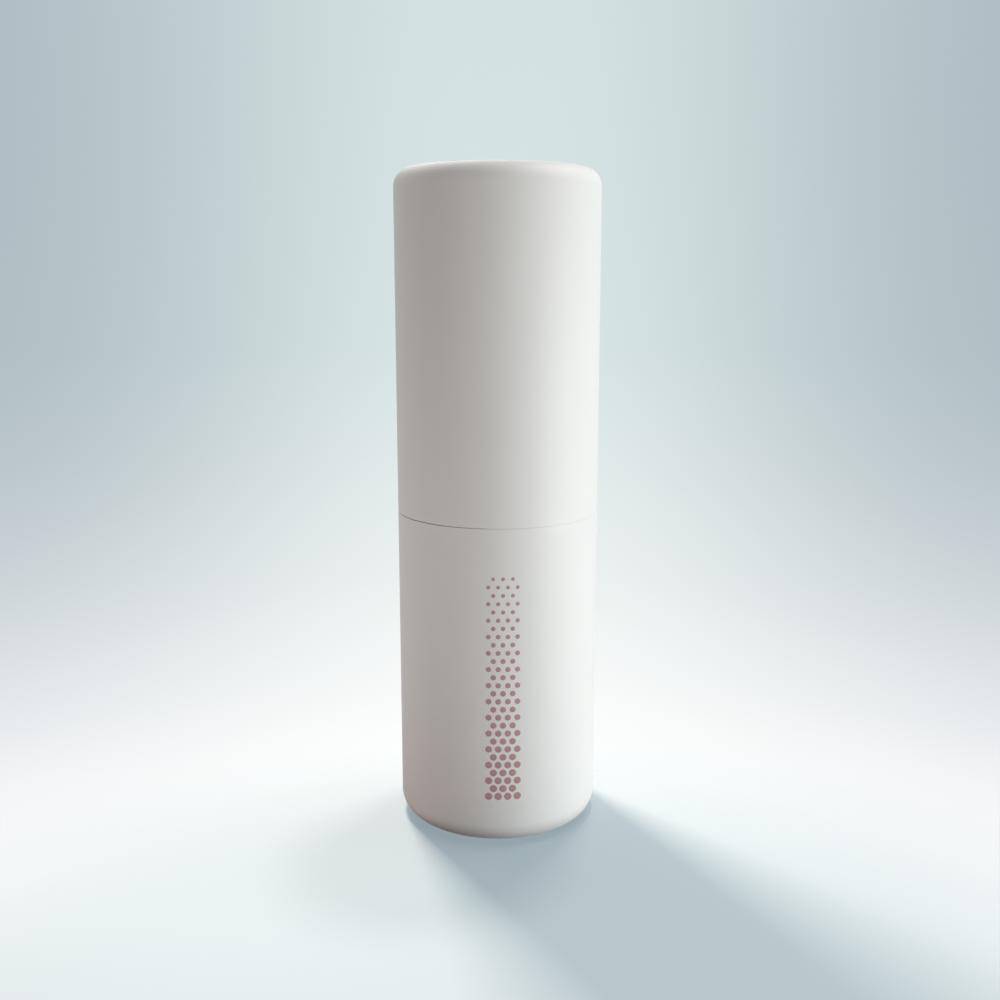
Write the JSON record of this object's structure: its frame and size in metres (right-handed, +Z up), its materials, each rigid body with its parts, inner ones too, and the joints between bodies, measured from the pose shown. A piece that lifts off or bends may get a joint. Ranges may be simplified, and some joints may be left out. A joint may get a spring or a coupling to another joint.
{
  "type": "highlighter stick",
  "caption": "Twist-up highlighter stick in a round satin case with a pull-off cap; the collar's helical cam lifts a lugged cup in a slotted tube.",
  "frame": {"origin": "centre of the foot, on the surface that the case stands on", "axes": "+Z up along the stick's axis, +X along the lugs of the cup, -Y toward the sloped side of the stick's tip"},
  "size_m": [0.0216, 0.0216, 0.07],
  "materials": {
    "satin_shell": "satin white, very fine moulded grain",
    "liner_plastic": "natural white, smooth as moulded",
    "mechanism_plastic": "white acetal, smooth as moulded",
    "satin_metal": "satin anodised, fine turned lines",
    "plated_steel": "zinc plated, tumbled",
    "silicone": "clear, semi-gloss",
    "pearl_balm": "pressed balm with champagne pearl shimmer"
  },
  "bodies": {
    "base": {"base_shell": "satin_shell", "base_weight": "plated_steel", "base_liner": "liner_plastic", "slotted_tube": "mechanism_plastic", "drag_ring": "silicone"},
    "collar": {"cam_sleeve": "mechanism_plastic", "collar_sleeve": "satin_metal"},
    "carrier": {"carrier_cup": "mechanism_plastic", "highlighter_stick": "pearl_balm"},
    "cap": {"cap_liner": "liner_plastic", "cap_shell": "satin_shell"}
  },
  "joints": [
    {"name": "collar_twist", "type": "hinge", "parent": "base", "child": "collar", "pos_m": [0, 0, 0], "axis": [0, 0, -1], "range_deg": [0, 540]},
    {"name": "stick_rise", "type": "slide", "parent": "base", "child": "carrier", "axis": [0, 0, 1], "range_m": [0, 0.0246]},
    {"name": "cap_pull", "type": "slide", "parent": "collar", "child": "cap", "axis": [0, 0, 1], "range_m": [0, 0.04]}
  ],
  "couplings": [
    {"joint": "stick_rise", "follows": "collar_twist", "m_per_rad": 0.0025995}
  ]
}
